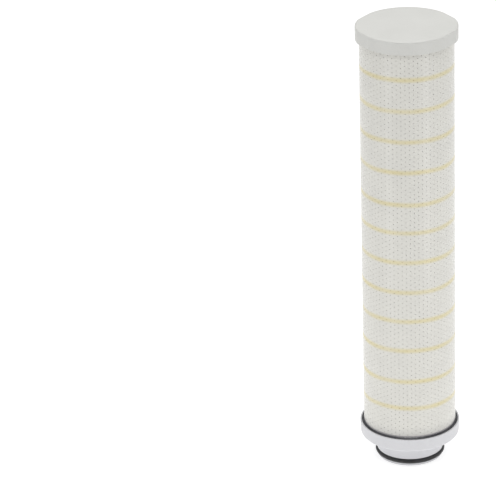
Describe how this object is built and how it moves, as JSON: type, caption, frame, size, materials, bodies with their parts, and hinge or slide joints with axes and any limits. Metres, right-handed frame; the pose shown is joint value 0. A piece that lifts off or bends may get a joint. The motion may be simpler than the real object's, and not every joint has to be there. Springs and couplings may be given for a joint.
{
  "type": "pleated water filter cartridge",
  "caption": "Long round pleated filter cartridge with a perforated white wrap, a lugged closed cap and an open spigot neck with an O-ring.",
  "frame": {"origin": "centre of the neck's end face, which is the bottom of the standing cartridge", "axes": "+Z along the cartridge axis towards the closed cap; +X and -X point through the two pull lugs"},
  "size_m": [0.0778, 0.0778, 0.361],
  "materials": {
    "cap_plastic": "moulded, satin, cool white",
    "wrap_film": "thin translucent white sheet, staggered perforations",
    "hot_melt": "pale amber hot melt",
    "potting_resin": "dark cast resin, glossy meniscus",
    "seal_rubber": "black, smooth, slightly oiled",
    "core_plastic": "natural pale olive-yellow polymer",
    "support_mesh": "fine white extruded net",
    "nonwoven": "thin white nonwoven",
    "media": "white bonded fibre sheet"
  },
  "bodies": {
    "root": {"open_end_cap": "cap_plastic", "closed_end_cap": "cap_plastic", "o_ring": "seal_rubber", "outer_wrap": "wrap_film", "core_tube": "core_plastic", "open_end_potting": "potting_resin", "closed_end_potting": "potting_resin", "pleat_side_seam": "hot_melt", "upstream_mesh": "support_mesh", "cushion_layer": "nonwoven", "filter_media": "media", "support_scrim": "nonwoven", "downstream_mesh": "support_mesh", "glue_band_01": "hot_melt", "glue_band_02": "hot_melt", "glue_band_03": "hot_melt", "glue_band_04": "hot_melt", "glue_band_05": "hot_melt", "glue_band_06": "hot_melt", "glue_band_07": "hot_melt", "glue_band_08": "hot_melt", "glue_band_09": "hot_melt", "glue_band_10": "hot_melt", "glue_band_11": "hot_melt", "glue_band_12": "hot_melt"}
  },
  "joints": []
}
